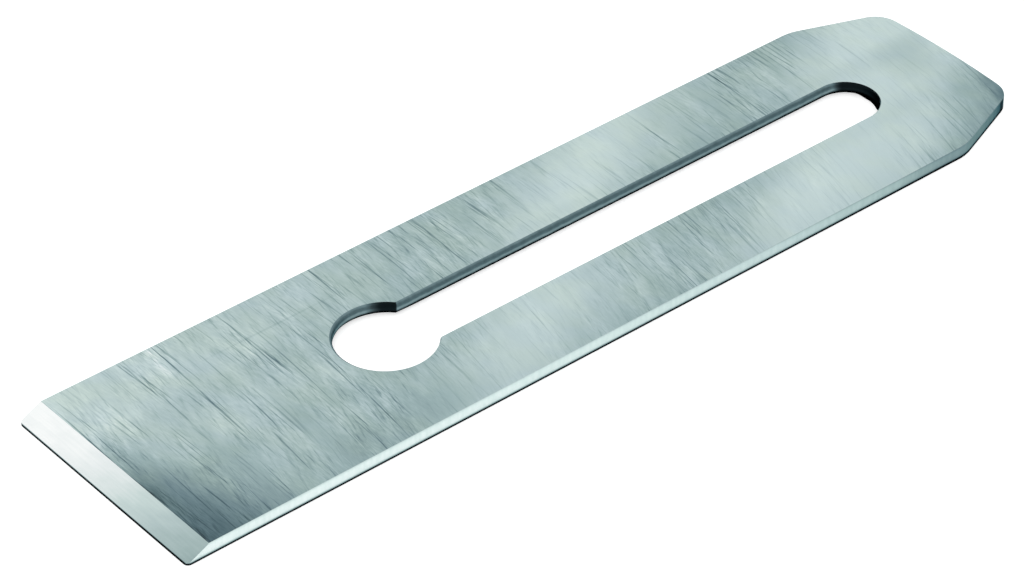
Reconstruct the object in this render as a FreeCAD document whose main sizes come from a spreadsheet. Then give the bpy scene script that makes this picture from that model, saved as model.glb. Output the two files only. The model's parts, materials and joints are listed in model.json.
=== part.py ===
import FreeCAD, Part
import math
import os
import Sketcher

# Iron of a metal bench plane: one flat bar of tool steel. It lies on its flat back with the ground
# bevel up. X runs across the blade, Y from the cutting edge to the top end, Z up from the back.
# Lengths are in millimetres and angles in degrees.
SIZES = {
    "blade_width": 44.5,
    "blade_length": 183.0,
    "blade_thickness": 2.4,
    "bevel_angle": 26.0,
    "edge_land": 0.3,
    "edge_corner_radius": 0.9,
    "clip_setback": 17.4,
    "clip_inset": 6.65,
    "crown_radius": 190.0,
    "shoulder_radius": 9.5,
    "tip_radius": 4.9,
    "hole_diameter": 17.5,
    "hole_from_edge": 56.3,
    "slot_width": 11.3,
    "slot_end_bridge": 18.65,
    "throat_radius": 0.8,
    "die_roll_radius": 0.5,
    "breakout_height": 0.85,
    "breakout_width": 0.55,
    "upper_arris_radius": 0.1,
    "lower_arris_radius": 0.1,
}

# Numbers by which a sketch knows its own axes, and the points of a curve. The origin is the start
# of the X axis.
Y_AXIS, X_AXIS = range(-2, 0)
ORIGIN = X_AXIS
START, END, CENTRE = range(1, 4)

# Two points nearer than this are one point.
SAME = 1e-4


def make_sheet(doc):
    """Puts the driving sizes in a sheet, one row each, under the names that the formulas use."""
    sheet = doc.addObject("Spreadsheet::Sheet", "Sheet")
    for row, (name, value) in enumerate(SIZES.items(), start=1):
        sheet.set("A%d" % row, name)
        sheet.set("B%d" % row, str(value))
        sheet.setAlias("B%d" % row, name)
    doc.recompute()
    return sheet


def sketch_on(body, role, name):
    """Starts a sketch on one of the body's own origin planes."""
    plane = next(part for part in body.Origin.OriginFeatures if part.Role == role)
    sketch = body.newObject("Sketcher::SketchObject", name)
    sketch.AttachmentSupport = [(plane, "")]
    sketch.MapMode = "FlatFace"
    return sketch


def line(sketch, start, end):
    """Adds a straight line between two points of the sketch."""
    return sketch.addGeometry(Part.LineSegment(FreeCAD.Vector(*start), FreeCAD.Vector(*end)), False)


def arc(sketch, centre, radius, first, last):
    """Adds an arc that turns anticlockwise from the first angle to the last, in radians."""
    circle = Part.Circle(FreeCAD.Vector(*centre), FreeCAD.Vector(0, 0, 1), radius)
    return sketch.addGeometry(Part.ArcOfCircle(circle, first, last), False)


def tie(sketch, kind, *places):
    """Adds a geometric constraint, such as Coincident or Vertical."""
    sketch.addConstraint(Sketcher.Constraint(kind, *places))


def measure(sketch, kind, name, formula, drawn, *places):
    """Adds a named dimension at its drawn value and binds it to the sheet by a formula."""
    index = sketch.addConstraint(Sketcher.Constraint(kind, *places, drawn))
    sketch.renameConstraint(index, name)
    sketch.setExpression("Constraints." + name, formula)


def finish_sketch(doc, sketch):
    """Stops the build if the sketch doesn't solve or has freedom left."""
    doc.recompute()
    if sketch.solve() != 0 or not sketch.FullyConstrained:
        raise RuntimeError("sketch %s isn't settled" % sketch.Name)


def blank_sketch(doc, body):
    """Draws the bar's outline: straight edges, two clipped top corners and a crowned top end.

    The front is left long by one thickness of the bar, which the grinding takes off later.
    """
    half = SIZES["blade_width"] / 2
    stock = SIZES["blade_thickness"]
    length = SIZES["blade_length"]
    crown = SIZES["crown_radius"]
    clip_y = length - SIZES["clip_setback"]
    tip_x = half - SIZES["clip_inset"]
    tip_angle = math.acos(tip_x / crown)
    centre_y = length - crown
    tip_y = centre_y + crown * math.sin(tip_angle)

    sketch = sketch_on(body, "XY_Plane", "BlankOutline")
    right = line(sketch, (half, -stock), (half, clip_y))
    right_clip = line(sketch, (half, clip_y), (tip_x, tip_y))
    crest = arc(sketch, (0, centre_y), crown, tip_angle, math.pi - tip_angle)
    left_clip = line(sketch, (-tip_x, tip_y), (-half, clip_y))
    left = line(sketch, (-half, clip_y), (-half, -stock))
    front = line(sketch, (-half, -stock), (half, -stock))
    top = sketch.addGeometry(Part.Point(FreeCAD.Vector(0, length)), True)

    loop = [right, right_clip, crest, left_clip, left, front]
    for one, following in zip(loop, loop[1:] + loop[:1]):
        tie(sketch, "Coincident", one, END, following, START)
    tie(sketch, "Vertical", right)
    tie(sketch, "Vertical", left)
    tie(sketch, "Equal", right, left)
    tie(sketch, "Symmetric", front, START, front, END, Y_AXIS)
    tie(sketch, "PointOnObject", crest, CENTRE, Y_AXIS)
    tie(sketch, "Horizontal", crest, START, crest, END)
    tie(sketch, "PointOnObject", top, START, Y_AXIS)
    tie(sketch, "PointOnObject", top, START, crest)

    measure(sketch, "DistanceX", "width", "Sheet.blade_width", 2 * half, front, START, front, END)
    measure(sketch, "DistanceY", "stock", "Sheet.blade_thickness", stock,
            front, END, ORIGIN, START)
    measure(sketch, "DistanceY", "length", "Sheet.blade_length", length, ORIGIN, START, top, START)
    measure(sketch, "DistanceY", "clip_start", "Sheet.blade_length - Sheet.clip_setback", clip_y,
            ORIGIN, START, right, END)
    measure(sketch, "DistanceX", "inset", "Sheet.clip_inset", half - tip_x,
            crest, START, right, END)
    measure(sketch, "Radius", "crown", "Sheet.crown_radius", crown, crest)
    finish_sketch(doc, sketch)
    return sketch


def keyhole_sketch(doc, body):
    """Draws the keyhole: a round hole that a straight slot runs out of, with a round far end."""
    radius = SIZES["hole_diameter"] / 2
    half = SIZES["slot_width"] / 2
    hole_y = SIZES["hole_from_edge"]
    end_y = SIZES["blade_length"] - SIZES["slot_end_bridge"] - half
    throat_angle = math.acos(half / radius)
    throat_y = hole_y + radius * math.sin(throat_angle)

    sketch = sketch_on(body, "XY_Plane", "KeyholeOutline")
    hole = arc(sketch, (0, hole_y), radius, math.pi - throat_angle, 2 * math.pi + throat_angle)
    right = line(sketch, (half, throat_y), (half, end_y))
    end = arc(sketch, (0, end_y), half, 0, math.pi)
    left = line(sketch, (-half, end_y), (-half, throat_y))

    tie(sketch, "Coincident", hole, END, right, START)
    tie(sketch, "Tangent", right, END, end, START)
    tie(sketch, "Tangent", end, END, left, START)
    tie(sketch, "Coincident", left, END, hole, START)
    tie(sketch, "Vertical", right)
    tie(sketch, "Vertical", left)
    tie(sketch, "PointOnObject", hole, CENTRE, Y_AXIS)
    tie(sketch, "PointOnObject", end, CENTRE, Y_AXIS)

    measure(sketch, "Radius", "hole_radius", "Sheet.hole_diameter / 2", radius, hole)
    measure(sketch, "DistanceX", "slot", "Sheet.slot_width", 2 * half, end, END, end, START)
    measure(sketch, "DistanceY", "hole_place", "Sheet.hole_from_edge", hole_y,
            ORIGIN, START, hole, CENTRE)
    measure(sketch, "DistanceY", "slot_end",
            "Sheet.blade_length - Sheet.slot_end_bridge - Sheet.slot_width / 2", end_y,
            ORIGIN, START, end, CENTRE)
    finish_sketch(doc, sketch)
    return sketch


def front_sketch(doc, body):
    """Draws what is ground off the front: it leaves a straight edge with two eased corners."""
    half = SIZES["blade_width"] / 2
    radius = SIZES["edge_corner_radius"]
    reach = 2 * SIZES["blade_thickness"]
    outer = half + reach

    sketch = sketch_on(body, "XY_Plane", "FrontStock")
    edge = line(sketch, (radius - half, 0), (half - radius, 0))
    right_corner = arc(sketch, (half - radius, radius), radius, -math.pi / 2, 0)
    right = line(sketch, (half, radius), (outer, radius))
    right_side = line(sketch, (outer, radius), (outer, -reach))
    front = line(sketch, (outer, -reach), (-outer, -reach))
    left_side = line(sketch, (-outer, -reach), (-outer, radius))
    left = line(sketch, (-outer, radius), (-half, radius))
    left_corner = arc(sketch, (radius - half, radius), radius, math.pi, 1.5 * math.pi)

    tie(sketch, "Tangent", edge, END, right_corner, START)
    tie(sketch, "Tangent", left_corner, END, edge, START)
    corners = [right_corner, right, right_side, front, left_side, left, left_corner]
    for one, following in zip(corners, corners[1:]):
        tie(sketch, "Coincident", one, END, following, START)
    for level in (edge, right, front, left):
        tie(sketch, "Horizontal", level)
    for upright in (right_side, left_side):
        tie(sketch, "Vertical", upright)
    tie(sketch, "PointOnObject", edge, START, X_AXIS)
    tie(sketch, "Horizontal", right_corner, CENTRE, right_corner, END)
    tie(sketch, "Horizontal", left_corner, CENTRE, left_corner, START)
    tie(sketch, "Equal", right_corner, left_corner)
    tie(sketch, "Equal", right, left)

    measure(sketch, "Radius", "corner", "Sheet.edge_corner_radius", radius, right_corner)
    measure(sketch, "DistanceX", "right_edge", "Sheet.blade_width / 2", half,
            ORIGIN, START, right_corner, END)
    measure(sketch, "DistanceX", "width", "Sheet.blade_width", 2 * half,
            left_corner, START, right_corner, END)
    measure(sketch, "DistanceX", "side_reach", "2 * Sheet.blade_thickness", reach,
            right, START, right, END)
    measure(sketch, "DistanceY", "front_reach", "2 * Sheet.blade_thickness", reach,
            front, START, ORIGIN, START)
    finish_sketch(doc, sketch)
    return sketch


def bevel_sketch(doc, body):
    """Draws the wedge above the bevel, seen from the side: it starts on the land at the edge."""
    land = SIZES["edge_land"]
    over = SIZES["blade_thickness"]
    high = SIZES["blade_thickness"] + over
    slope = math.radians(SIZES["bevel_angle"])
    far = (high - land) / math.tan(slope)

    sketch = sketch_on(body, "YZ_Plane", "BevelSide")
    bevel = line(sketch, (0, land), (far, high))
    top = line(sketch, (far, high), (-over, high))
    front = line(sketch, (-over, high), (-over, land))
    step = line(sketch, (-over, land), (0, land))

    loop = [bevel, top, front, step]
    for one, following in zip(loop, loop[1:] + loop[:1]):
        tie(sketch, "Coincident", one, END, following, START)
    tie(sketch, "Horizontal", top)
    tie(sketch, "Horizontal", step)
    tie(sketch, "Vertical", front)
    tie(sketch, "PointOnObject", bevel, START, Y_AXIS)

    measure(sketch, "Angle", "slope", "Sheet.bevel_angle", slope, bevel)
    measure(sketch, "DistanceY", "land", "Sheet.edge_land", land, ORIGIN, START, bevel, START)
    measure(sketch, "DistanceY", "top_height", "2 * Sheet.blade_thickness", high,
            ORIGIN, START, bevel, END)
    measure(sketch, "DistanceX", "overrun", "Sheet.blade_thickness", over, step, START, step, END)
    finish_sketch(doc, sketch)
    return sketch


def cut_through(doc, body, sketch, name):
    """Pockets a sketch right through the body on both sides of its plane, and proves that it cut."""
    before = body.Tip.Shape.Volume
    pocket = body.newObject("PartDesign::Pocket", name)
    pocket.Profile = sketch
    pocket.Type = "ThroughAll"
    pocket.Midplane = True
    doc.recompute()
    if not pocket.Shape.Volume < before:
        raise RuntimeError("pocket %s cuts nothing" % name)
    return pocket


def upright_edges(shape, places):
    """Names the edges along Z that stand at the given places in X and Y."""
    names = []
    for number, edge in enumerate(shape.Edges, start=1):
        foot, head = edge.Vertexes[0].Point, edge.Vertexes[-1].Point
        if math.hypot(head.x - foot.x, head.y - foot.y) > SAME or abs(head.z - foot.z) < SAME:
            continue
        if any(math.hypot(foot.x - x, foot.y - y) < SAME for x, y in places):
            names.append("Edge%d" % number)
    if len(names) != len(places):
        raise RuntimeError("%d upright edges found for %d places" % (len(names), len(places)))
    return names


def rim_edges(shape, height):
    """Names the edges of the broad face at a height: those of its outline, then the keyhole's.

    The outline's front edge is left out, as it is ground away.
    """
    level = [face for face in shape.Faces
             if abs(face.BoundBox.ZMin - height) < SAME and face.BoundBox.ZLength < SAME]
    broad = max(level, key=lambda face: face.Area)
    front = -SIZES["blade_thickness"]
    outline, keyhole = [], []
    for number, edge in enumerate(shape.Edges, start=1):
        if any(edge.isSame(one) for one in broad.OuterWire.Edges):
            if edge.BoundBox.YMax > front + SAME:
                outline.append("Edge%d" % number)
        elif any(edge.isSame(one) for one in broad.Edges):
            keyhole.append("Edge%d" % number)
    return outline, keyhole


def round_edges(doc, body, name, edges, radius_name):
    """Rounds the named edges of the body's last feature to a radius of the sheet."""
    base = body.Tip
    fillet = body.newObject("PartDesign::Fillet", name)
    fillet.Base = (base, edges)
    fillet.setExpression("Radius", "Sheet." + radius_name)
    doc.recompute()
    return fillet


def break_out(doc, body, edges):
    """Flares the keyhole towards the back, where the steel tore away under the punch."""
    base = body.Tip
    flare = body.newObject("PartDesign::Chamfer", "BreakOut")
    flare.Base = (base, edges)
    flare.ChamferType = "Two distances"
    flare.FlipDirection = True
    flare.setExpression("Size", "Sheet.breakout_width")
    flare.setExpression("Size2", "Sheet.breakout_height")
    doc.recompute()
    return flare


def make_iron(doc):
    """Builds the blade in the order of its making: blank, keyhole, eased arrises, grinding."""
    body = doc.addObject("PartDesign::Body", "PlaneIron")
    body.Label = "plane_iron"

    blank = body.newObject("PartDesign::Pad", "Blank")
    blank.Profile = blank_sketch(doc, body)
    blank.setExpression("Length", "Sheet.blade_thickness")
    doc.recompute()

    half = SIZES["blade_width"] / 2
    tip_x = half - SIZES["clip_inset"]
    crown = SIZES["crown_radius"]
    tip_y = SIZES["blade_length"] - crown + math.sqrt(crown ** 2 - tip_x ** 2)
    shoulder_y = SIZES["blade_length"] - SIZES["clip_setback"]
    shoulders = [(side * half, shoulder_y) for side in (1, -1)]
    tips = [(side * tip_x, tip_y) for side in (1, -1)]
    round_edges(doc, body, "Shoulders", upright_edges(body.Tip.Shape, shoulders), "shoulder_radius")
    round_edges(doc, body, "Tips", upright_edges(body.Tip.Shape, tips), "tip_radius")

    cut_through(doc, body, keyhole_sketch(doc, body), "Keyhole")
    slot_half = SIZES["slot_width"] / 2
    throat_y = SIZES["hole_from_edge"] + math.sqrt(
        (SIZES["hole_diameter"] / 2) ** 2 - slot_half ** 2)
    throats = [(side * slot_half, throat_y) for side in (1, -1)]
    round_edges(doc, body, "Throat", upright_edges(body.Tip.Shape, throats), "throat_radius")

    thickness = SIZES["blade_thickness"]
    round_edges(doc, body, "DieRoll", rim_edges(body.Tip.Shape, thickness)[1], "die_roll_radius")
    break_out(doc, body, rim_edges(body.Tip.Shape, 0)[1])
    upper = rim_edges(body.Tip.Shape, thickness)[0]
    round_edges(doc, body, "UpperArrises", upper, "upper_arris_radius")
    lower = rim_edges(body.Tip.Shape, 0)[0]
    round_edges(doc, body, "LowerArrises", lower, "lower_arris_radius")
    cut_through(doc, body, front_sketch(doc, body), "Front")
    cut_through(doc, body, bevel_sketch(doc, body), "Bevel")

    # The finished blade's origin is the middle of its back face.
    body.setExpression("Placement.Base.y", "-Sheet.blade_length / 2")
    return body


def check(doc, bodies):
    """Stops the build if anything failed to compute or a piece isn't one sound solid."""
    for item in doc.Objects:
        if "Invalid" in item.State or "Error" in item.State:
            raise RuntimeError("%s failed: %s" % (item.Name, item.State))
    for body in bodies:
        shape = body.Shape
        if shape.isNull() or not shape.isValid() or len(shape.Solids) != 1:
            raise RuntimeError("%s isn't one sound solid" % body.Label)


def main():
    """Builds the blade and writes its solid."""
    doc = FreeCAD.newDocument("plane_iron")
    make_sheet(doc)
    bodies = [make_iron(doc)]
    doc.recompute()
    check(doc, bodies)
    os.makedirs("parts", exist_ok=True)
    for body in bodies:
        body.Shape.exportStep("parts/%s.step" % body.Label)
        box = body.Shape.BoundBox
        print("%s: %.2f x %.2f x %.2f mm, %.1f mm3, from (%.3f, %.3f, %.3f)" % (
            body.Label, box.XLength, box.YLength, box.ZLength, body.Shape.Volume,
            box.XMin, box.YMin, box.ZMin))


main()
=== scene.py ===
"""A flat plane iron: its ground, sheared and punched steel surfaces, lit softly on a pale floor.

Lengths in the dataclasses are millimetres; meshes are metres. The blade lies on its back, with
x across its width, y from the cutting edge to the top end and z up.
"""

import json
import logging
import math
from dataclasses import dataclass
from enum import Enum

import bpy
import numpy as np
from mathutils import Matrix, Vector


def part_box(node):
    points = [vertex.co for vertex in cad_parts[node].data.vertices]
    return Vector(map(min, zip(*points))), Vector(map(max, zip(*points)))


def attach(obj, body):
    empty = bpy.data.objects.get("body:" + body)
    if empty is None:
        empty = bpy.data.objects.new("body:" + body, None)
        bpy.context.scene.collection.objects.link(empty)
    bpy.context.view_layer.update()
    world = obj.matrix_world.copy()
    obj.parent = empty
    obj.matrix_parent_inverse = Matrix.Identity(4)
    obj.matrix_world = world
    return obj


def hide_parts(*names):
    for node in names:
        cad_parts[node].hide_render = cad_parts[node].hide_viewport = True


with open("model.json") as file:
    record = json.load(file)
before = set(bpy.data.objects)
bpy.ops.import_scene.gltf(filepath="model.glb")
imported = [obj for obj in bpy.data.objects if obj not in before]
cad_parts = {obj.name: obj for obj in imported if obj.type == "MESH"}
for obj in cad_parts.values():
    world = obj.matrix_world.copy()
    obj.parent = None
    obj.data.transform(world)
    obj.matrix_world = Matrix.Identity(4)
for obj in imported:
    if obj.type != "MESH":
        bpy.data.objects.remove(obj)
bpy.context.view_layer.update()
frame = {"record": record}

NODE = "plane_iron"
BODY = "root"
MM = 0.001
WELD_MM = 0.001
SHARP_ANGLE = math.radians(22)
NOISE_DETAIL = 2.0

log = logging.getLogger("plane_iron")

Tree = bpy.types.NodeTree
Socket = bpy.types.NodeSocket
Pair = tuple[float, float]
Stops = tuple[Pair, ...]


def linear(hex_colour: str) -> tuple[float, float, float, float]:
    """Turns an sRGB hex colour into the linear values that a shader takes.

    Args:
        hex_colour: colour such as "#B7CBCB".

    Returns:
        Red, green, blue and alpha, each from 0 to 1.
    """
    srgb = [int(hex_colour[i : i + 2], 16) / 255 for i in (1, 3, 5)]
    red, green, blue = (c / 12.92 if c <= 0.04045 else ((c + 0.055) / 1.055) ** 2.4 for c in srgb)
    return red, green, blue, 1.0


def add_node(tree: Tree, kind: str, fill: dict | None = None, **settings: object) -> bpy.types.Node:
    """Adds one node to a tree.

    Args:
        tree: the tree it goes into.
        kind: the node's type name.
        fill: what goes into its inputs, a value or another node's output for each name or number.
        **settings: the node's own properties.

    Returns:
        The new node.
    """
    node = tree.nodes.new(kind)
    for name, value in settings.items():
        setattr(node, name, value)
    for key, value in (fill or {}).items():
        if isinstance(value, Socket):
            tree.links.new(value, node.inputs[key])
        else:
            node.inputs[key].default_value = value
    return node


def solve(tree: Tree, operation: str, *values: Socket | float) -> Socket:
    """Adds a math node that works on the values in their order."""
    return add_node(tree, "ShaderNodeMath", dict(enumerate(values)), operation=operation).outputs[0]


def total(tree: Tree, parts: list[Socket | float]) -> Socket:
    """Adds up several values, node by node."""
    running = parts[0]
    for part in parts[1:]:
        running = solve(tree, "ADD", running, part)
    return running


def split(tree: Tree, vector: Socket) -> bpy.types.NodeOutputs:
    """The vector's x, y and z."""
    return add_node(tree, "ShaderNodeSeparateXYZ", {0: vector}).outputs


def mapped(tree: Tree, value: Socket, given: Pair, wanted: Pair, eased: bool = False) -> Socket:
    """Maps a stretch of a value to another one, and keeps to its ends beyond.

    Args:
        tree: the material's nodes.
        value: what is mapped.
        given: the two ends of the value's stretch.
        wanted: what they turn into.
        eased: True to run smoothly into both ends.

    Returns:
        The mapped value.
    """
    ends = {"From Min": given[0], "From Max": given[1], "To Min": wanted[0], "To Max": wanted[1]}
    kind = "SMOOTHSTEP" if eased else "LINEAR"
    return add_node(tree, "ShaderNodeMapRange", {"Value": value, **ends}, interpolation_type=kind).outputs[0]


def fitted(tree: Tree, place: Socket, middle: tuple, reach: tuple, turn: float = 0.0) -> Socket:
    """The place as seen from a frame set at middle, turned by degrees and scaled to reach."""
    turned = (0.0, 0.0, math.radians(turn))
    fill = {"Vector": place, "Location": middle, "Rotation": turned, "Scale": reach}
    return add_node(tree, "ShaderNodeMapping", fill, vector_type="TEXTURE").outputs[0]


def smooth(value: np.ndarray, low: float, high: float) -> np.ndarray:
    """Rises from 0 at low to 1 at high along the curve 3t^2 - 2t^3."""
    t = np.clip((value - low) / (high - low), 0, 1)
    return t * t * (3 - 2 * t)


class Surface(Enum):
    """The blade's surfaces, each with a finish of its own."""

    FACE = 0
    BEVEL = 1
    BACK = 2
    SIDE = 3
    LAND = 4
    KEYHOLE = 5


@dataclass(frozen=True)
class Trail:
    """Points along a plane curve, each with the unit normal that points out of the steel."""

    points: np.ndarray
    normals: np.ndarray

    def __add__(self, other: "Trail") -> "Trail":
        """Joins two trails end to end."""
        return Trail(np.vstack([self.points, other.points]), np.vstack([self.normals, other.normals]))

    def __getitem__(self, part: slice) -> "Trail":
        """A stretch of the trail."""
        return Trail(self.points[part], self.normals[part])

    def moved_in(self, depth: np.ndarray | float) -> np.ndarray:
        """Points moved into the steel, against their normals, by depth."""
        return self.points - self.normals * np.reshape(depth, (-1, 1))

    def mirrored(self) -> "Trail":
        """The same curve on the other side of the centre line, run backwards."""
        flip = np.array([-1.0, 1.0])
        return Trail((self.points * flip)[::-1], (self.normals * flip)[::-1])


def straight(start: Pair, end: Pair, steps: int, normal: Pair) -> Trail:
    """Points start + (end - start) k / steps for k from 0, with the end left to the next stretch.

    Args:
        start: first point.
        end: where the stretch ends.
        steps: number of points.
        normal: the unit normal of the line, or (0, 0) where there is no wall.

    Returns:
        The stretch as a trail.
    """
    share = np.arange(steps)[:, None] / steps
    points = np.array(start) + (np.array(end) - np.array(start)) * share
    return Trail(points, np.tile(np.array(normal, float), (steps, 1)))


def arc(centre: Pair, radius: float, start: float, end: float, steps: int, hollow: bool = False) -> Trail:
    """Points centre + radius (cos a, sin a) for angles a from start towards end, the end left out.

    Args:
        centre: centre of the arc.
        radius: its radius.
        start: first angle in radians.
        end: angle where the arc ends.
        steps: number of points.
        hollow: True where the steel lies outside the circle, so that the normal points to its centre.

    Returns:
        The stretch as a trail.
    """
    angle = start + (end - start) * np.arange(steps) / steps
    spoke = np.column_stack([np.cos(angle), np.sin(angle)])
    return Trail(np.array(centre) + radius * spoke, -spoke if hollow else spoke)


@dataclass(frozen=True)
class IronSizes:
    """Sizes that shape the blade, in millimetres and degrees. The box and the hole come from the frame."""

    width: float
    thickness: float
    edge_y: float
    crown_y: float
    hole_y: float
    hole_radius: float
    slot_end_bridge: float = 18.65
    bevel_angle: float = 26.0
    edge_land: float = 0.3
    edge_corner_radius: float = 0.9
    clip_setback: float = 17.4
    clip_inset: float = 6.65
    crown_radius: float = 190.0
    shoulder_radius: float = 9.5
    tip_radius: float = 4.9
    slot_width: float = 11.3
    throat_radius: float = 0.8
    face_arris: float = 0.1
    back_arris: float = 0.05
    die_roll: float = 0.5
    even_roll: float = 0.6
    breakout_height: float = 0.85
    breakout_width: float = 0.55
    throat_blend: Pair = (0.7, 1.3)
    front_turn: Pair = (-1.0, -0.5)
    breakout_at_hole: Stops = (
        (60, 0.55), (100, 0.70), (134, 0.72), (150, 0.72), (180, 0.65), (210, 0.55),
    )
    breakout_at_end: Stops = (
        (0, 0.55), (35, 0.10), (65, -0.30), (80, -0.20), (95, 0.0), (110, 0.40), (125, 0.70),
        (145, 0.70), (180, 0.55),
    )

    @classmethod
    def from_frame(cls) -> "IronSizes":
        """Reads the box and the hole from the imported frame."""
        low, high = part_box(NODE)
        record = frame["record"]
        hole = next(mount for mount in record["mounts"] if mount["name"] == "keyhole_hole")
        return cls(
            width=(high.x - low.x) / MM,
            thickness=high.z / MM,
            edge_y=low.y / MM,
            crown_y=high.y / MM,
            hole_y=hole["pos_m"][1] / MM,
            hole_radius=hole["dims"]["r_mm"],
        )

    @property
    def slot_end_y(self) -> float:
        """Where the slot's round end reaches furthest."""
        return self.crown_y - self.slot_end_bridge

    @property
    def crease_y(self) -> float:
        """Where the bevel meets the face."""
        rise = self.thickness - self.edge_land
        return self.edge_y + rise / math.tan(math.radians(self.bevel_angle))

    def top_at(self, y: np.ndarray) -> np.ndarray:
        """Height of the upper surface: the land, then the bevel's slope, up to the thickness."""
        slope = math.tan(math.radians(self.bevel_angle))
        return np.minimum(self.edge_land + (y - self.edge_y) * slope, self.thickness)


@dataclass(frozen=True)
class Detail:
    """How finely the mesh is divided."""

    corner: int = 6
    bevel: int = 10
    before_hole: int = 46
    hole: int = 64
    throat: int = 6
    slot: int = 96
    slot_round: int = 32
    shoulder: int = 5
    clip: int = 16
    tip: int = 12
    arris: int = 6
    wall: int = 8
    near_edge: float = 0.008
    columns: int = 12


@dataclass(frozen=True)
class Patch:
    """Vertices, four-cornered faces and wall directions of one surface, before the surfaces are welded."""

    surface: Surface
    vertices: np.ndarray
    faces: np.ndarray
    facing: np.ndarray


def grid_faces(rows: int, columns: int, inside_out: bool = False) -> np.ndarray:
    """Corner numbers of the faces of a grid of points kept row by row.

    Args:
        rows: number of rows of points.
        columns: number of points in a row.
        inside_out: True to turn the faces over.

    Returns:
        One row of four corner numbers for each face.
    """
    number = np.arange(rows * columns).reshape(rows, columns)
    corners = [number[:-1, :-1], number[:-1, 1:], number[1:, 1:], number[1:, :-1]]
    faces = np.stack(corners, axis=-1).reshape(-1, 4)
    return faces[:, ::-1] if inside_out else faces


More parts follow.
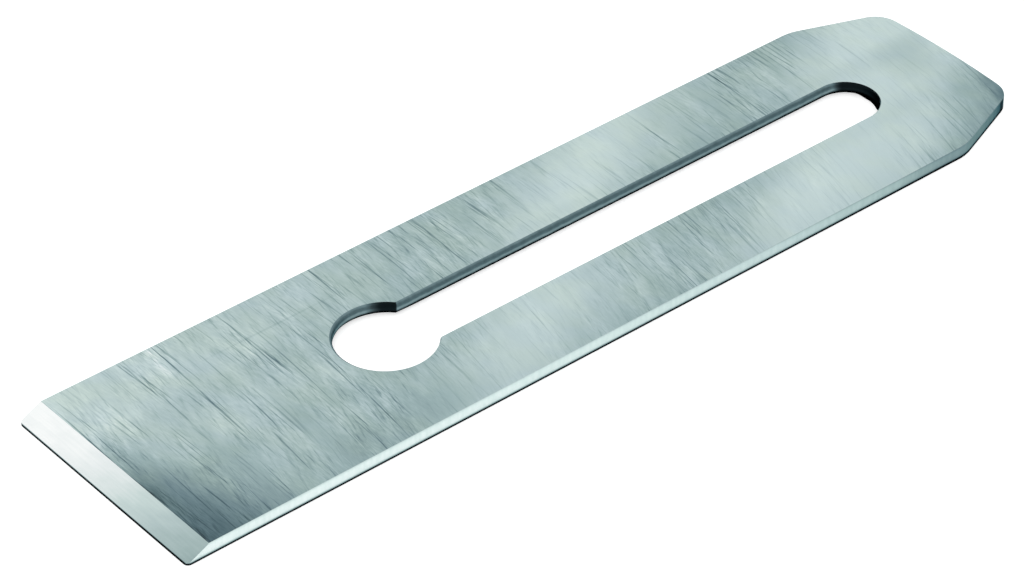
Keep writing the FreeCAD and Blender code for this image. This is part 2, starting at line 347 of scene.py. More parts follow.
class PlaneIron:
    """The blade: one bar of steel, blanked, pierced with a keyhole, ground flat and given its bevel."""

    def __init__(self, sizes: IronSizes, detail: Detail) -> None:
        """Keeps the sizes and works out the curves that every surface shares."""
        self.sizes = sizes
        self.detail = detail
        self.outer, self.inner, self.opening = self.half_contours()

    def half_contours(self) -> tuple[Trail, Trail, slice]:
        """Works out the long side and the centre line of the right half, point for point.

        The outer trail runs from the front corner's arc along the side, the shoulder's arc, the
        clipped corner and the tip's arc. The inner trail runs up the centre line and round the
        keyhole. Both have as many points, and a straight line joins each pair of points.

        Returns:
            The outer trail, the inner trail and the part of the inner trail that lies on the keyhole.
        """
        s, d = self.sizes, self.detail
        half, front, crown = s.width / 2, s.edge_y, s.crown_y
        shoulder = (half, crown - s.clip_setback)
        crown_centre = (0.0, crown - s.crown_radius)
        side, none, quarter = (1.0, 0.0), (0.0, 0.0), math.pi / 2

        clip_end = (half - s.clip_inset, crown)
        run = math.hypot(clip_end[0] - shoulder[0], s.clip_setback)
        clip_way = ((clip_end[0] - shoulder[0]) / run, s.clip_setback / run)
        clip_normal = (clip_way[1], -clip_way[0])
        clip_turn = math.atan2(clip_normal[1], clip_normal[0])
        shoulder_cut = s.shoulder_radius * math.tan(clip_turn / 2)
        shoulder_centre = (half - s.shoulder_radius, shoulder[1] - shoulder_cut)
        tip_centre = self.tip_centre(shoulder, clip_normal, crown_centre)
        tip_end = math.atan2(tip_centre[1] - crown_centre[1], tip_centre[0] - crown_centre[0])
        clip_from = np.array(shoulder_centre) + s.shoulder_radius * np.array(clip_normal)
        clip_to = np.array(tip_centre) + s.tip_radius * np.array(clip_normal)

        hole, radius, slot = (0.0, s.hole_y), s.hole_radius, s.slot_width / 2
        throat_x = slot + s.throat_radius
        throat_y = s.hole_y + math.sqrt((radius + s.throat_radius) ** 2 - throat_x**2)
        throat_turn = math.atan2(throat_y - s.hole_y, throat_x)
        slot_centre = (0.0, s.slot_end_y - slot)
        hole_end_y = s.hole_y + radius * math.sin(throat_turn)
        corner_y = front + s.edge_corner_radius
        hole_low = s.hole_y - radius
        shoulder_end, tip_start = float(clip_from[1]), float(clip_to[1])
        end_y = tip_centre[1] + s.tip_radius * math.sin(tip_end)

        outer = (
            arc((half - s.edge_corner_radius, corner_y), s.edge_corner_radius, -quarter, 0, d.corner)
            + straight((half, corner_y), (half, s.crease_y), d.bevel, side)
            + straight((half, s.crease_y), (half, hole_low), d.before_hole, side)
            + straight((half, hole_low), (half, hole_end_y), d.hole, side)
            + straight((half, hole_end_y), (half, throat_y), d.throat, side)
            + straight((half, throat_y), (half, slot_centre[1]), d.slot, side)
            + straight((half, slot_centre[1]), (half, shoulder_centre[1]), d.slot_round, side)
            + arc(shoulder_centre, s.shoulder_radius, 0, clip_turn, d.shoulder)
            + straight(tuple(clip_from), tuple(clip_to), d.clip, clip_normal)
            + arc(tip_centre, s.tip_radius, clip_turn, tip_end, d.tip)
            + arc(tip_centre, s.tip_radius, tip_end, tip_end, 1)
        )
        corner = arc((0, corner_y), s.edge_corner_radius, -quarter, 0, d.corner)
        inner = (
            Trail(corner.points * [0, 1], corner.normals * 0)
            + straight((0, corner_y), (0, s.crease_y), d.bevel, none)
            + straight((0, s.crease_y), (0, hole_low), d.before_hole, none)
            + arc(hole, radius, -quarter, throat_turn, d.hole, hollow=True)
            + arc((throat_x, throat_y), s.throat_radius, throat_turn + math.pi, math.pi, d.throat)
            + straight((slot, throat_y), (slot, slot_centre[1]), d.slot, (-1.0, 0.0))
            + arc(slot_centre, slot, 0, quarter, d.slot_round, hollow=True)
            + arc(slot_centre, slot, quarter, quarter, 1, hollow=True)
            + straight((0, s.slot_end_y), (0, shoulder_end), d.shoulder, none)
            + straight((0, shoulder_end), (0, tip_start), d.clip, none)
            + straight((0, tip_start), (0, end_y), d.tip, none)
            + straight((0, end_y), (0, end_y), 1, none)
        )
        first = d.corner + d.bevel + d.before_hole
        last = first + d.hole + d.throat + d.slot + d.slot_round
        without_double = inner[: last + 1] + inner[last + 2 :]
        return outer, without_double, slice(first, last + 1)

    def tip_centre(self, shoulder: Pair, clip_normal: Pair, crown_centre: Pair) -> Pair:
        """Finds the centre of the small arc between the clipped corner and the crown.

        The centre lies one tip radius inside the clip's line and one tip radius inside the crown's
        circle. The distance along the line comes from the quadratic that the circle gives.

        Args:
            shoulder: a point on the clip's line.
            clip_normal: the line's unit normal, out of the steel.
            crown_centre: centre of the crown's circle.

        Returns:
            The centre of the tip's arc.
        """
        radius = self.sizes.tip_radius
        start = np.array(shoulder) - radius * np.array(clip_normal) - np.array(crown_centre)
        way = np.array([-clip_normal[1], clip_normal[0]])
        reach = self.sizes.crown_radius - radius
        along = float(start @ way)
        step = -along + math.sqrt(along**2 - float(start @ start) + reach**2)
        centre = start + way * step + np.array(crown_centre)
        return float(centre[0]), float(centre[1])

    def columns(self) -> np.ndarray:
        """Shares of the way across a half, from 0 to 1, with a close pair at each end."""
        near = self.detail.near_edge
        middle = np.linspace(0, 1, self.detail.columns + 1)[1:-1]
        return np.concatenate([[0, near], middle, [1 - near, 1]])

    def crown(self, inset: float) -> Trail:
        """The crowned end of the right half, from the centre line to the tip's arc, moved in by inset."""
        s = self.sizes
        centre_y = s.crown_y - s.crown_radius
        end = self.outer.points[-1]
        lean = math.atan2(end[0], end[1] - centre_y)
        x = (s.crown_radius - inset) * math.sin(lean) * self.columns()
        y = centre_y + np.sqrt((s.crown_radius - inset) ** 2 - x**2)
        normals = np.column_stack([x, y - centre_y]) / (s.crown_radius - inset)
        return Trail(np.column_stack([x, y]), normals)

    def level_inset(self, height: np.ndarray, radius: np.ndarray | float, level: float) -> np.ndarray:
        """How far a quarter-round arris of this radius, tangent to a level, stands in at a height.

        The formula is radius - sqrt(radius^2 - reach^2), where reach is how far the height lies
        within one radius of the level.

        Args:
            height: heights above the floor.
            radius: the arris' radius.
            level: height of the face that the arris runs into.

        Returns:
            The distance into the steel for each height.
        """
        reach = np.maximum(radius - np.abs(level - height), 0)
        return radius - np.sqrt(radius**2 - reach**2)

    def heights(self) -> np.ndarray:
        """Heights of the wall's rows: angle steps over both arrises and even steps between."""
        s, d = self.sizes, self.detail
        turn = np.linspace(0, math.pi / 2, d.arris + 1)
        low = s.back_arris * (1 - np.cos(turn))
        high = s.thickness - s.face_arris * (1 - np.sin(turn))
        return np.concatenate([low, np.linspace(low[-1], high[0], d.wall + 1)[1:-1], high])

    def wall_inset(self, height: np.ndarray, back_share: np.ndarray | float = 1.0) -> np.ndarray:
        """How far the sheared wall stands in at each height, for both of its arrises."""
        s = self.sizes
        high = self.level_inset(height, s.face_arris, s.thickness)
        return high + self.level_inset(height, s.back_arris, 0) * back_share

    def roll(self, normals: np.ndarray) -> np.ndarray:
        """Radius of the die roll: full size times e + (1 - e) x, e the even share, x the normal's."""
        even = self.sizes.even_roll
        return self.sizes.die_roll * (even + (1 - even) * normals[:, 0])

    def breakout(self, points: np.ndarray) -> np.ndarray:
        """How far the wall has broken out at the back, for each point of the keyhole's contour.

        The punch came down a little aslant, so the width follows the angle about the hole's centre
        and about the centre of the slot's end, through a few values in between. Along the slot it
        is even. Over the throat the one runs smoothly into the other, between the two shares of the
        hole's radius in throat_blend.
        """
        s = self.sizes
        end_y = s.slot_end_y - s.slot_width / 2
        at_hole = np.degrees(np.arctan2(points[:, 1] - s.hole_y, points[:, 0]))
        at_end = np.degrees(np.arctan2(points[:, 1] - end_y, points[:, 0]))
        hole = np.interp(at_hole, *np.transpose(s.breakout_at_hole), period=360)
        end = np.interp(at_end, *np.transpose(s.breakout_at_end))
        beyond = np.where(points[:, 1] > end_y, end, s.breakout_width)
        low, high = (s.hole_y + s.hole_radius * share for share in s.throat_blend)
        weight = smooth(points[:, 1], low, high)
        return hole + (beyond - hole) * weight

    def keyhole_inset(self, trail: Trail, height: np.ndarray) -> np.ndarray:
        """How far the punched wall stands in at each height.

        Above is the die roll, a quarter round. Below, the wall flares out evenly over the break-out's
        height, (1 - height / breakout_height) of its width.

        Args:
            trail: points and normals of the keyhole's contour.
            height: heights by point and level.

        Returns:
            The distance into the steel at each of them.
        """
        s = self.sizes
        flare = np.clip(1 - height / s.breakout_height, 0, 1) * self.breakout(trail.points)[:, None]
        return self.level_inset(height, self.roll(trail.normals)[:, None], s.thickness) + flare

    def keyhole_heights(self, trail: Trail) -> np.ndarray:
        """Heights of the punched wall by point and level: even steps, then angle steps over the roll."""
        s, d = self.sizes, self.detail
        turn = np.linspace(0, math.pi / 2, 2 * d.arris + 1)
        high = s.thickness - self.roll(trail.normals)[:, None] * (1 - np.sin(turn))
        low = np.tile(np.linspace(0, s.breakout_height, d.wall + 1), (len(high), 1))
        share = np.linspace(0, 1, d.wall + 1)[1:-1]
        return np.hstack([low, low[:, -1:] + (high[:, :1] - low[:, -1:]) * share, high])

    def half_face(self, level_top: bool, side: int) -> np.ndarray:
        """Works out one half of the upper or the under surface.

        A row joins a point of the inner trail to its fellow on the outer trail by a straight
        line, P = I + (O - I) s. Towards the crowned end the rows are bent, by a weight that
        rises from 0 at the shoulder to 1 in the last row, until they follow the crown's circle.

        Args:
            level_top: True for the upper surface, False for the under one.
            side: 1 for the right half and -1 for the left.

        Returns:
            Points as rows by columns by x, y and z.
        """
        s, d = self.sizes, self.detail
        share = self.columns()[None, :, None]
        turned = np.array([float(side), 1.0])
        rim = Trail(self.inner.points * turned, self.inner.normals * turned)
        rows = len(self.outer.points)
        if level_top:
            outer_in = self.wall_inset(s.top_at(self.outer.points[:, 1]))
            inner_in = self.keyhole_inset(rim, np.full((rows, 1), s.thickness))
            crown = self.crown(s.face_arris).points
        else:
            outer_in = self.wall_inset(np.zeros(rows), self.back_share(self.outer))
            inner_in = self.keyhole_inset(rim, np.zeros((rows, 1)))
            crown = self.crown(s.back_arris).points
        outer, inner = self.outer.moved_in(outer_in), self.inner.moved_in(inner_in)
        points = inner[:, None, :] + (outer - inner)[:, None, :] * share
        bend = smooth(np.arange(rows), rows - 1 - d.tip - d.clip, rows - 1)[:, None, None]
        points = points + (crown - points[-1]) * bend
        height = s.top_at(points[..., 1]) if level_top else np.zeros(points.shape[:2])
        return np.dstack([points, height[..., None]]) * np.append(turned, 1.0)

    def back_share(self, trail: Trail) -> np.ndarray:
        """1 along the sides and 0 at the front, where the back is ground up to the edge.

        It rises with the y of the outward normal, between the two values of front_turn.
        """
        return smooth(trail.normals[:, 1], *self.sizes.front_turn)

    def wall(
        self, trail: Trail, heights: np.ndarray, insets: np.ndarray, surface: Surface, hollow: bool
    ) -> Patch:
        """Carries a section up a trail: point k at height z is the trail's point moved in by inset(z).

        Args:
            trail: the curve that the wall follows.
            heights: heights by trail point and level.
            insets: the distance into the steel at each of them.
            surface: which surface the wall is.
            hollow: True for the wall of an opening, which is turned over.

        Returns:
            The wall as a patch.
        """
        rungs = heights.shape[1]
        plane = trail.points[:, None, :] - trail.normals[:, None, :] * insets[..., None]
        points = np.dstack([plane, heights[..., None]])
        count = len(trail.points)
        faces = grid_faces(count, rungs, inside_out=not hollow)
        facing = np.repeat(np.column_stack([trail.normals, np.zeros(count)]), rungs, axis=0)
        return Patch(surface, points.reshape(-1, 3), faces, facing)

    def side_walls(self) -> list[Patch]:
        """The land under the bevel and the sheared wall round the rest of the outline."""
        s = self.sizes
        x = (s.width / 2 - s.edge_corner_radius) * self.columns()
        front = Trail(np.column_stack([x, np.full_like(x, s.edge_y)]), np.tile([0.0, -1.0], (len(x), 1)))
        half = self.outer + self.crown(0)[::-1][1:]
        side = half + half.mirrored()[1:]
        whole_front = front.mirrored()[:-1] + front
        made = []
        for trail, surface in ((whole_front, Surface.LAND), (side, Surface.SIDE)):
            top = s.top_at(trail.points[:, 1])
            heights = self.heights()[None, :] * (top / s.thickness)[:, None]
            insets = self.wall_inset(heights, self.back_share(trail)[:, None])
            made.append(self.wall(trail, heights, insets, surface, hollow=False))
        return made

    def keyhole_wall(self) -> Patch:
        """The punched wall all round the keyhole, from the break-out below to the die roll above."""
        half = self.inner[self.opening]
        trail = half + half.mirrored()[1:]
        heights = self.keyhole_heights(trail)
        return self.wall(trail, heights, self.keyhole_inset(trail, heights), Surface.KEYHOLE, hollow=True)

    def flat_patches(self) -> list[Patch]:
        """The face, the bevel and the back, each as a right and a left half."""
        bevel_rows = self.detail.corner + self.detail.bevel
        made = []
        for side in (1, -1):
            top, back = self.half_face(True, side), self.half_face(False, side)
            parts = (
                (Surface.BEVEL, top[: bevel_rows + 1], side < 0),
                (Surface.FACE, top[bevel_rows:], side < 0),
                (Surface.BACK, back, side > 0),
            )
            for surface, points, turned_over in parts:
                faces = grid_faces(*points.shape[:2], inside_out=turned_over)
                vertices = points.reshape(-1, 3)
                made.append(Patch(surface, vertices, faces, np.zeros_like(vertices)))
        return made

    def build(self, finishes: dict[Surface, bpy.types.Material]) -> bpy.types.Object:
        """Welds the surfaces into one closed mesh and dresses each in its finish.

        Args:
            finishes: the material of each surface.

        Returns:
            The blade as an object, in place of the CAD node.
        """
        patches = [self.keyhole_wall(), *self.side_walls(), *self.flat_patches()]
        starts = np.cumsum([0] + [len(p.vertices) for p in patches])
        vertices = np.vstack([p.vertices for p in patches])
        faces = np.vstack([p.faces + start for p, start in zip(patches, starts)])
        surface = np.concatenate([np.full(len(p.faces), p.surface.value) for p in patches])
        facing = np.vstack([p.facing for p in patches])
        near = np.round(vertices / WELD_MM)
        _, kept, welded = np.unique(near, axis=0, return_index=True, return_inverse=True)
        faces = welded.reshape(-1)[faces]

        mesh = bpy.data.meshes.new("blade")
        mesh.from_pydata((vertices[kept] * MM).tolist(), [], faces.tolist())
        mesh.polygons.foreach_set("material_index", surface.astype(np.int32))
        mesh.polygons.foreach_set("use_smooth", np.ones(len(faces), bool))
        stored = mesh.attributes.new("wall_facing", "FLOAT_VECTOR", "POINT")
        stored.data.foreach_set("vector", facing[kept].astype(np.float32).ravel())
        for kind in Surface:
            mesh.materials.append(finishes[kind])
        mesh.validate()
        mesh.update()
        mesh.set_sharp_from_angle(angle=SHARP_ANGLE)
        blade = bpy.data.objects.new("blade", mesh)
        bpy.context.scene.collection.objects.link(blade)
        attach(blade, BODY)
        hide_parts(NODE)
        log.info("blade: %d vertices, %d faces", len(mesh.vertices), len(mesh.polygons))
        return blade


# The tones of bare carbon steel under white light, from the dark of scale to a polished glint.
# A tone is the sRGB green level, and the red stays a little lower, which gives the cool green grey.
STEEL_TONES = (
    (0.00, "#020404"), (0.12, "#161E21"), (0.28, "#384549"), (0.42, "#556A6F"), (0.52, "#6F858A"),
    (0.62, "#899E9F"), (0.70, "#9EB3B2"), (0.77, "#B3C5C5"), (0.84, "#C7D7D5"), (0.93, "#E8EEEE"),
    (1.00, "#FDFFFE"),
)


@dataclass(frozen=True)
class Marks:
    """Long thin straight marks, as the grains of a grinding wheel leave them.

    The noise is stretched to the marks' length and spacing in millimetres and turned by a few
    degrees from the blade's width. Only its share between low and high shows, as a change of tone
    from 0 to strength.
    """

    length: float
    spacing: float
    low: float
    high: float
    strength: float
    seed: float
    turn: float = 0.0
    rough: float = 0.5

    def tone(self, tree: Tree, place: Socket) -> Socket:
        """Adds the marks to a material.

        Args:
            tree: the material's nodes.
            place: where the point lies, in metres.

        Returns:
            The change of tone.
        """
        middle = (self.seed, self.seed, self.seed)
        reach = (self.length * MM, self.spacing * MM, self.length * MM)
        stretched = fitted(tree, place, middle, reach, self.turn)
        fill = {"Vector": stretched, "Scale": 1.0, "Detail": NOISE_DETAIL, "Roughness": self.rough}
        noise = add_node(tree, "ShaderNodeTexNoise", fill).outputs[0]
        return mapped(tree, noise, (self.low, self.high), (0.0, self.strength))

    def balanced(self, tree: Tree, place: Socket) -> Socket:
        """The marks less half their strength, so that even ones leave the surface's mean as it is."""
        return total(tree, [self.tone(tree, place), -self.strength / 2])


@dataclass(frozen=True)
class Blot:
    """A soft oval patch that changes the tone: its middle and reach in millimetres, and its depth."""

    middle: Pair
    reach: Pair
    depth: float

    def tone(self, tree: Tree, place: Socket) -> Socket:
        """The change of tone: the whole depth in the middle, and none at the reach."""
        middle = tuple(c * MM for c in self.middle) + (0.0,)
        reach = tuple(r * MM for r in self.reach) + (1.0,)
        near = fitted(tree, place, middle, reach)
        far = add_node(tree, "ShaderNodeVectorMath", {0: near}, operation="LENGTH").outputs["Value"]
        return mapped(tree, far, (0.0, 1.0), (self.depth, 0.0), eased=True)


def ramp(tree: Tree, value: Socket, stops: tuple[tuple[float, str], ...]) -> Socket:
    """Turns a value from 0 to 1 into the colours of the stops, which are sRGB hex values."""
    node = add_node(tree, "ShaderNodeValToRGB", {"Fac": value})
    elements = node.color_ramp.elements
    while len(elements) < len(stops):
        elements.new(1.0)
    for element, (position, colour) in zip(elements, stops):
        element.position = position
        element.color = linear(colour)
    return node.outputs[0]


def levels(tree: Tree, value: Socket, stops: Stops) -> Socket:
    """Turns a length in millimetres into a tone that runs smoothly through the stops.

    Args:
        tree: the material's nodes.
        value: the length, in metres.
        stops: pairs of a length in millimetres and the tone there.

    Returns:
        The tone.
    """
    first, last = stops[0][0], stops[-1][0]
    share = mapped(tree, value, (first * MM, last * MM), (0.0, 1.0))
    node = add_node(tree, "ShaderNodeValToRGB", {"Fac": share})
    node.color_ramp.interpolation = "CARDINAL"
    elements = node.color_ramp.elements
    while len(elements) < len(stops):
        elements.new(1.0)
    for element, (length, tone) in zip(elements, stops):
        element.position = (length - first) / (last - first)
        element.color = (tone, tone, tone, 1.0)
    return node.outputs[0]


@dataclass(frozen=True)
class Finish:
    """A steel surface: how rough it is, and how deep its marks are cut, in millimetres."""

    name: str
    roughness: float
    bump: float = 0.0

    def tone(self, tree: Tree, place: Socket) -> Socket:
        """The surface's tone, from 0 to 1. Each finish has its own."""
        raise NotImplementedError

    def stained(self, tree: Tree, place: Socket, colour: Socket) -> Socket:
        """The colour with its stain, if the finish has one. A plain finish has none."""
        return colour

    def material(self) -> bpy.types.Material:
        """Builds the finish: its tone turned into steel's colours, on a bare metal."""
        made = bpy.data.materials.new(self.name)
        made.use_nodes = True
        tree = made.node_tree
        tree.nodes.clear()
        place = add_node(tree, "ShaderNodeTexCoord").outputs["Object"]
        tone = self.tone(tree, place)
        colour = self.stained(tree, place, ramp(tree, tone, STEEL_TONES))
        steel = {"Base Color": colour, "Specular Tint": colour, "Metallic": 1.0, "Roughness": self.roughness}
        metal = add_node(tree, "ShaderNodeBsdfPrincipled", steel)
        if self.bump:
            cut = {"Height": tone, "Distance": self.bump * MM, "Strength": 1.0}
            relief = add_node(tree, "ShaderNodeBump", cut)
            tree.links.new(relief.outputs[0], metal.inputs["Normal"])
        add_node(tree, "ShaderNodeOutputMaterial", {"Surface": metal.outputs[0]})
        return made


@dataclass(frozen=True)
class GroundFace(Finish):
    """Surface-ground tool steel.

    The wheel runs across the blade, so fine marks lie side by side along its width, with longer
    and deeper ones among them where single grains dug in. Broad soft bands that lie aslant are
    painted reflections, and a dark patch lies in one corner, just behind the bevel. The marks
    fade towards the top end, where the wheel had worn smooth.
    """

    aslant: float = 1.33
    # Painted reflections: the tone of the aslant bands, by place along the slant.
    bands: Stops = (
        (-115, 0.81), (-90, 0.75), (-70, 0.74), (-50, 0.71), (-36, 0.69), (-24, 0.7), (-12, 0.775),
        (2, 0.82), (14, 0.76), (24, 0.72), (36, 0.69), (48, 0.73), (60, 0.81), (80, 0.81),
        (94, 0.765), (108, 0.62),
    )
    across: Stops = (
        (-22, 0.99), (-18, 1.0), (-11, 1.01), (-7, 0.97), (0, 1.015), (7, 0.975), (11, 1.0),
        (17, 0.995), (20, 0.98), (22, 0.97),
    )
    blots: tuple[Blot, ...] = (
        Blot(middle=(23.0, -90.0), reach=(40.0, 26.0), depth=-0.34),
        Blot(middle=(6.0, -88.0), reach=(16.0, 4.5), depth=-0.10),
        Blot(middle=(0.0, -79.5), reach=(18.0, 6.0), depth=0.055),
        Blot(middle=(15.0, -26.0), reach=(12.0, 26.0), depth=-0.03),
        Blot(middle=(20.0, -44.0), reach=(10.0, 26.0), depth=-0.07),
        Blot(middle=(16.5, 90.5), reach=(4.5, 4.0), depth=-0.22),
        Blot(middle=(11.5, 91.0), reach=(4.5, 4.0), depth=-0.10),
        Blot(middle=(10.0, 84.0), reach=(3.5, 4.5), depth=-0.035),
        Blot(middle=(-3.0, 84.0), reach=(9.0, 9.0), depth=-0.05),
        Blot(middle=(-14.0, -48.0), reach=(0.4, 20.0), depth=-0.04),
    )
    depth: Stops = (
        (-115, 0.35), (-104, 0.40), (-92, 0.76), (-84, 0.53), (-64, 0.56), (-45, 0.50), (-26, 0.58),
        (-16, 0.34), (-6, 0.20), (6, 0.18), (16, 0.32), (26, 0.42), (40, 0.54), (47, 0.46),
        (55, 0.24), (66, 0.13), (84, 0.12), (96, 0.30), (110, 0.40),
    )
    full_depth: float = 1.75
    swing: Stops = (
        (-92, 0.0), (-78, 0.015), (-60, 0.045), (-40, 0.055), (-15, 0.11), (10, 0.07), (30, 0.11),
        (60, 0.14), (92, 0.14),
    )
    swing_curve: float = 28.0
    marks: tuple[Marks, ...] = (
        Marks(length=24, spacing=0.50, low=0.62, high=0.72, strength=-0.17, seed=0.31, turn=-1.5),
        Marks(length=12, spacing=0.40, low=0.60, high=0.74, strength=-0.16, seed=0.73, turn=2.0),
        Marks(length=5, spacing=0.35, low=0.55, high=0.75, strength=-0.10, seed=0.23, turn=-9.0, rough=0.6),
        Marks(length=15, spacing=0.35, low=0.60, high=0.76, strength=0.035, seed=0.19, turn=1.0),
        Marks(length=8, spacing=2.00, low=0.25, high=0.75, strength=0.07, seed=0.57, turn=-8.0),
        Marks(length=1.6, spacing=0.30, low=0.20, high=0.80, strength=0.08, seed=0.91, turn=8.0, rough=0.65),
    )
    marks_mean: float = -0.038
    gather: Marks = Marks(length=45, spacing=5.5, low=0.36, high=0.64, strength=1.0, seed=0.47)
    gather_least: float = 0.50
    cloud: Marks = Marks(length=9, spacing=6, low=0.35, high=0.65, strength=1.0, seed=0.83, turn=25.0)
    cooler: Stops = ((-22, -0.20), (0, 0.0), (22, 0.35))
    stain: tuple[tuple[float, str], ...] = ((0.0, "#FFFFFC"), (1.0, "#FBFCFF"))

    def stained(self, tree: Tree, place: Socket, colour: Socket) -> Socket:
        """The colour times a faint oily stain, in clouds that turn bluer towards the right edge."""
        axes = split(tree, place)
        cool = total(tree, [self.cloud.tone(tree, place), levels(tree, axes[0], self.cooler)])
        both = {0: colour, 1: ramp(tree, cool, self.stain)}
        return add_node(tree, "ShaderNodeVectorMath", both, operation="MULTIPLY").outputs["Vector"]

    def swept(self, tree: Tree, axes: bpy.types.NodeOutputs) -> Socket:
        """The place seen along the wheel's path, which swings: y moves by swing (x + curve x^2)."""
        reach = solve(tree, "MULTIPLY", solve(tree, "MULTIPLY_ADD", axes[0], self.swing_curve, 1.0), axes[0])
        moved = solve(tree, "MULTIPLY_ADD", reach, levels(tree, axes[1], self.swing), axes[1])
        path = {0: axes[0], 1: moved, 2: axes[2]}
        return add_node(tree, "ShaderNodeCombineXYZ", path).outputs[0]

    def tone(self, tree: Tree, place: Socket) -> Socket:
        """Painted reflection bands along y + aslant x, less near the rims, the patches, and marks that gather
        in bands.
        """
        axes = split(tree, place)
        slant = solve(tree, "MULTIPLY_ADD", axes[0], self.aslant, axes[1])
        rims = levels(tree, axes[0], self.across)
        # The painted reflection bands, less near the rims.
        broad = solve(tree, "MULTIPLY", levels(tree, slant, self.bands), rims)
        patches = [blot.tone(tree, place) for blot in self.blots]
        path = self.swept(tree, axes)
        cut = total(tree, [*(kind.tone(tree, path) for kind in self.marks), self.marks_mean])
        deep = solve(tree, "MULTIPLY", levels(tree, slant, self.depth), self.full_depth)
        share = total(tree, [self.gather.tone(tree, path), self.gather_least])
        scored = solve(tree, "MULTIPLY", cut, solve(tree, "MULTIPLY", deep, share))
        return total(tree, [broad, *patches, scored])


@dataclass(frozen=True)
class GroundBevel(Finish):
    """Fine-ground bevel: a smoother wheel leaves it nearly free of marks, bright at one end.

    Its brightness at one end is a painted reflection, and its run of tone leans a little. Along the cutting
    edge a dark strip of painted shade widens the edge's dark line.
    """

    lean: float = -0.9
    middle_y: float = -89.2
    # Painted reflection: the bevel's tone along the lean, bright at the left end.
    run: Stops = (
        (-27, 0.98), (-16, 0.97), (-8, 0.95), (-2, 0.91), (4, 0.86), (10, 0.80), (16, 0.75),
        (22, 0.70), (28, 0.68),
    )
    # Painted shade: a dark strip along the cutting edge, between these two y, and its depth.
    edge_shade_span: Pair = (-91.5, -91.28)
    edge_shade_depth: float = -0.85
    grain: Marks = Marks(length=6, spacing=0.3, low=0.2, high=0.8, strength=0.03, seed=0.31)
    cloud: Marks = Marks(length=5, spacing=2.0, low=0.2, high=0.8, strength=0.04, seed=0.37, turn=20.0)

    def tone(self, tree: Tree, place: Socket) -> Socket:
        """A painted reflection that runs across the blade, with faint grain and clouds, down to the painted
        shade along the edge.
        """
        axes = split(tree, place)
        height = solve(tree, "ADD", axes[1], -self.middle_y * MM)
        along = solve(tree, "MULTIPLY_ADD", height, self.lean, axes[0])
        # Painted shade along the cutting edge.
        painted_edge_shade = mapped(tree, axes[1], (self.edge_shade_span[0] * MM, self.edge_shade_span[1] * MM), (self.edge_shade_depth, 0.0), eased=True)
        marks = [self.grain.balanced(tree, place), self.cloud.balanced(tree, place)]
        return total(tree, [levels(tree, along, self.run), painted_edge_shade, *marks])


@dataclass(frozen=True)
class ShearedSide(Finish):
    """Sheared and ground long side: a painted reflection, bright and duller towards the top end, with painted
    shade as a black line below.
    """

    # Painted reflection: bright near the cutting edge, duller towards the top end.
    run: Stops = (
        (-92, 0.88), (-30, 0.86), (0, 0.83), (30, 0.78), (58, 0.69), (72, 0.57), (76, 0.62),
        (84, 0.57), (87.0, 0.50), (88.1, 0.34), (89.0, 0.62), (92, 0.74),
    )
    # Painted shade: the black line along the bottom of the wall, by height.
    height: Stops = (
        (0.0, 0.95), (0.24, 0.90), (0.38, 0.52), (0.56, 0.16), (0.78, 0.02), (1.6, 0.0),
        (2.1, 0.02), (2.4, 0.06),
    )
    # How much of the painted shade below is kept along the blade.
    bottom_shade_along: Stops = ((-92, 1.0), (70, 1.0), (76, 0.65), (84, 0.50), (92, 0.45))
    grain: Marks = Marks(length=3, spacing=0.8, low=0.2, high=0.8, strength=0.04, seed=0.41)

    def tone(self, tree: Tree, place: Socket) -> Socket:
        """A painted reflection along the blade, less the painted shade of the black line by height, which
        fades at the top end.
        """
        axes = split(tree, place)
        along = total(tree, [levels(tree, axes[1], self.run), self.grain.balanced(tree, place)])
        bottom_shade_along = levels(tree, axes[1], self.bottom_shade_along)
        # Painted shade: the black line along the bottom, fading at the top end.
        broken = solve(tree, "MULTIPLY", levels(tree, axes[2], self.height), bottom_shade_along)
        return solve(tree, "SUBTRACT", along, broken)


@dataclass(frozen=True)
class EdgeLand(Finish):
    """The last sliver of the blank's front under the bevel, painted nearly black as shade along the cutting
    edge.
    """

    # Painted shade: the land's tone, nearly black.
    level: float = 0.04
    grain: Marks = Marks(length=5, spacing=0.5, low=0.2, high=0.8, strength=0.06, seed=0.51)

    def tone(self, tree: Tree, place: Socket) -> Socket:
        """A dark painted shade with patches of grain."""
        return total(tree, [self.grain.balanced(tree, place), self.level])


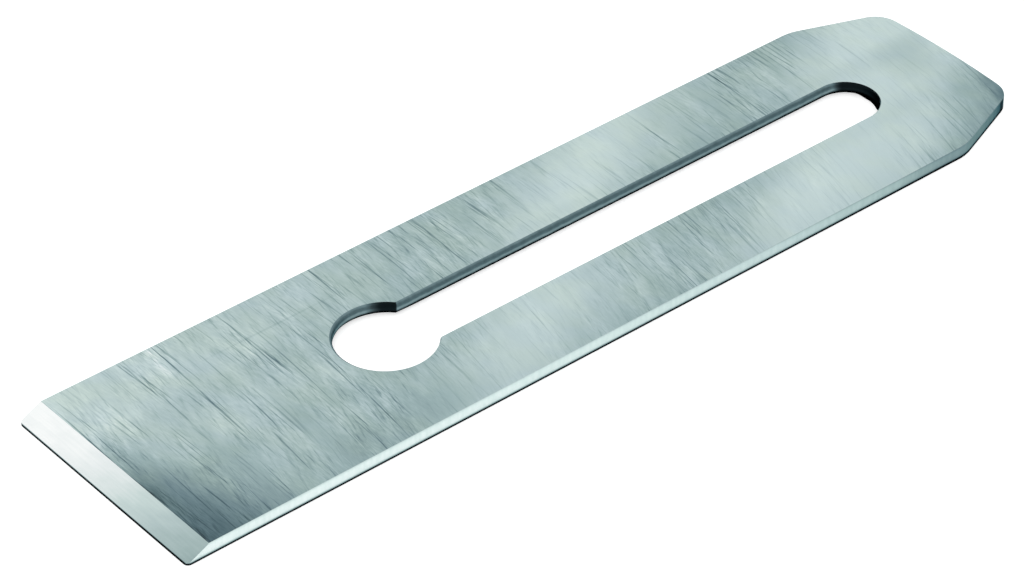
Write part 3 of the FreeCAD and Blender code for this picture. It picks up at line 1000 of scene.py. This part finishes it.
@dataclass(frozen=True)
class PunchedWall(Finish):
    """Punched keyhole wall.

    The torn lower part is nearly black, a real break darkened further by painted shade, and the
    strips above are painted darker than the face, partly as painted shade. The punch burnished a
    strip above the break. The rounds that face the cutting edge carry painted shade. On the side
    towards the right edge the die roll carries a painted highlight, as bright as the face.
    """

    # Partly the wall's own strips and partly painted shade: nearly black below, darker than the face above.
    height: Stops = (
        (0.0, 0.02), (0.60, 0.03), (0.80, 0.10), (0.92, 0.34), (1.08, 0.50), (1.30, 0.56),
        (1.52, 0.48), (1.75, 0.40), (2.00, 0.40), (2.25, 0.44), (2.4, 0.52),
    )
    # Painted highlight on the die roll: the heights it covers, its tone and the wall directions that take it.
    roll: Stops = ((0.0, 0.0), (2.1, 0.0), (2.2, 0.9), (2.4, 1.0))
    roll_highlight_tone: float = 0.76
    roll_highlight_facing: Pair = (-0.45, -0.8)
    # Painted shade on the walls that face the cutting edge: the directions it covers and the share of tone
    # left.
    shade_facing: Pair = (-0.58, -0.24)
    shade_share: float = 0.20
    grain: Marks = Marks(length=2, spacing=1.2, low=0.2, high=0.8, strength=0.06, seed=0.61)
    ragged: Marks = Marks(length=1.6, spacing=1.6, low=0.2, high=0.8, strength=0.00016, seed=0.67)

    def tone(self, tree: Tree, place: Socket) -> Socket:
        """Strips by height with a ragged limit, painted shade on the rounds that face the cutting edge, and
        the painted highlight on the roll on one side.
        """
        axes = split(tree, place)
        raised = total(tree, [axes[2], self.ragged.balanced(tree, place)])
        strip = total(tree, [levels(tree, raised, self.height), self.grain.balanced(tree, place)])
        stored = add_node(tree, "ShaderNodeAttribute", attribute_name="wall_facing")
        facing = split(tree, stored.outputs["Vector"])
        # Painted shade on the walls that face the cutting edge.
        kept = mapped(tree, facing[1], self.shade_facing, (self.shade_share, 1.0), eased=True)
        wall = solve(tree, "MULTIPLY", strip, kept)
        # Painted highlight on the die roll, on the side towards the right edge.
        side = mapped(tree, facing[0], self.roll_highlight_facing, (0.0, 1.0))
        roll_highlight = solve(tree, "MULTIPLY", levels(tree, axes[2], self.roll), side)
        mix = {"Factor": roll_highlight, "A": wall, "B": self.roll_highlight_tone}
        return add_node(tree, "ShaderNodeMix", mix).outputs[0]


@dataclass(frozen=True)
class PhotoView:
    """The camera: directions in degrees, distances in millimetres, focal length in pixels of 1024."""

    azimuth: float = 50.03
    elevation: float = 37.63
    target: tuple[float, float, float] = (1.333, -9.882, 0.059)
    distance: float = 683.9
    focal_pixels: float = 4166.0
    image_width: int = 1024
    sensor: float = 36.0
    clip: Pair = (10.0, 10000.0)

    def build(self) -> None:
        """Places the camera at the target plus distance along the way back, level with the horizon."""
        azimuth, elevation = math.radians(self.azimuth), math.radians(self.elevation)
        back = Vector(
            (
                math.sin(azimuth) * math.cos(elevation),
                -math.cos(azimuth) * math.cos(elevation),
                math.sin(elevation),
            )
        )
        lens = bpy.data.cameras.new("view")
        lens.sensor_width = self.sensor
        lens.lens = self.focal_pixels * self.sensor / self.image_width
        lens.clip_start, lens.clip_end = self.clip[0] * MM, self.clip[1] * MM
        camera = bpy.data.objects.new("view", lens)
        camera.location = (Vector(self.target) + back * self.distance) * MM
        camera.rotation_mode = "QUATERNION"
        camera.rotation_quaternion = (-back).to_track_quat("-Z", "Y")
        bpy.context.scene.collection.objects.link(camera)
        bpy.context.scene.camera = camera


@dataclass(frozen=True)
class SoftBox:
    """A square lamp that faces the middle of the blade. Place and size in millimetres, power in watts."""

    name: str
    place: tuple[float, float, float]
    size: float
    power: float

    def build(self) -> None:
        """Adds the lamp."""
        lamp = bpy.data.lights.new(self.name, "AREA")
        lamp.shape = "SQUARE"
        lamp.size = self.size * MM
        lamp.energy = self.power
        lit = bpy.data.objects.new(self.name, lamp)
        lit.location = Vector(self.place) * MM
        lit.rotation_mode = "QUATERNION"
        lit.rotation_quaternion = (-Vector(self.place)).to_track_quat("-Z", "Y")
        bpy.context.scene.collection.objects.link(lit)


@dataclass(frozen=True)
class Studio:
    """A pale floor under a white sky, with soft lamps."""

    floor_size: float = 6000.0
    floor_drop: float = 0.02
    floor_colour: str = "#F4F5F5"
    floor_glow: float = 0.50
    sky_light: float = 0.9
    lamps: tuple[SoftBox, ...] = (
        SoftBox("softbox_back", place=(-520.0, 430.0, 620.0), size=700.0, power=0.10),
        SoftBox("softbox_side", place=(620.0, -120.0, 420.0), size=500.0, power=0.30),
    )

    def seen(self, tree: Tree) -> Socket:
        """1 for rays from the camera and for those that metal or glass sends on, else 0."""
        path = add_node(tree, "ShaderNodeLightPath").outputs
        direct = solve(tree, "ADD", path["Is Camera Ray"], path["Is Glossy Ray"])
        either = {0: direct, 1: path["Is Transmission Ray"]}
        return add_node(tree, "ShaderNodeMath", either, operation="ADD", use_clamp=True).outputs[0]

    def build_floor(self) -> None:
        """A flat sheet just under the blade, which lifts what is seen of it to white."""
        half, low = self.floor_size / 2 * MM, -self.floor_drop * MM
        mesh = bpy.data.meshes.new("floor")
        corners = [(-half, -half, low), (half, -half, low), (half, half, low), (-half, half, low)]
        mesh.from_pydata(corners, [], [(0, 1, 2, 3)])
        paint = bpy.data.materials.new("matt_white_floor")
        paint.use_nodes = True
        tree = paint.node_tree
        tree.nodes.clear()
        glow = solve(tree, "MULTIPLY", self.seen(tree), self.floor_glow)
        surface = add_node(
            tree,
            "ShaderNodeBsdfPrincipled",
            {
                "Base Color": linear(self.floor_colour),
                "Roughness": 1.0,
                "Specular IOR Level": 0.0,
                "Emission Color": (1.0, 1.0, 1.0, 1.0),
                "Emission Strength": glow,
            },
        )
        add_node(tree, "ShaderNodeOutputMaterial", {"Surface": surface.outputs[0]})
        mesh.materials.append(paint)
        floor = bpy.data.objects.new("floor", mesh)
        bpy.context.scene.collection.objects.link(floor)

    def build_sky(self) -> None:
        """A white sky: strength 1 where it is seen, and a little less as a light."""
        world = bpy.data.worlds.new("white_sky")
        bpy.context.scene.world = world
        world.use_nodes = True
        tree = world.node_tree
        tree.nodes.clear()
        strength = mapped(tree, self.seen(tree), (0.0, 1.0), (self.sky_light, 1.0))
        sky = add_node(tree, "ShaderNodeBackground", {"Color": (1, 1, 1, 1), "Strength": strength})
        add_node(tree, "ShaderNodeOutputWorld", {"Surface": sky.outputs[0]})

    def build(self) -> None:
        """Adds the floor, the sky and the lamps."""
        self.build_floor()
        self.build_sky()
        for lamp in self.lamps:
            lamp.build()
        bpy.context.scene.view_settings.view_transform = "Standard"


def main() -> None:
    """Builds the camera, the studio and the blade."""
    logging.basicConfig(level=logging.INFO, format="%(name)s: %(message)s")
    PhotoView().build()
    Studio().build()
    back = GroundFace("surface_ground_back_steel", roughness=0.34, bump=0.02, aslant=-0.9, blots=())
    finishes = {
        Surface.FACE: GroundFace("surface_ground_tool_steel", roughness=0.34, bump=0.02),
        Surface.BEVEL: GroundBevel("fine_ground_bevel_steel", roughness=0.28),
        Surface.BACK: back,
        Surface.SIDE: ShearedSide("sheared_side_steel", roughness=0.36),
        Surface.LAND: EdgeLand("shaded_edge_land_steel", roughness=0.45),
        Surface.KEYHOLE: PunchedWall("punched_wall_steel", roughness=0.45),
    }
    sizes = IronSizes.from_frame()
    log.info("sizes: %s", sizes)
    PlaneIron(sizes, Detail()).build({kind: finish.material() for kind, finish in finishes.items()})


if __name__ == "__main__":
    main()
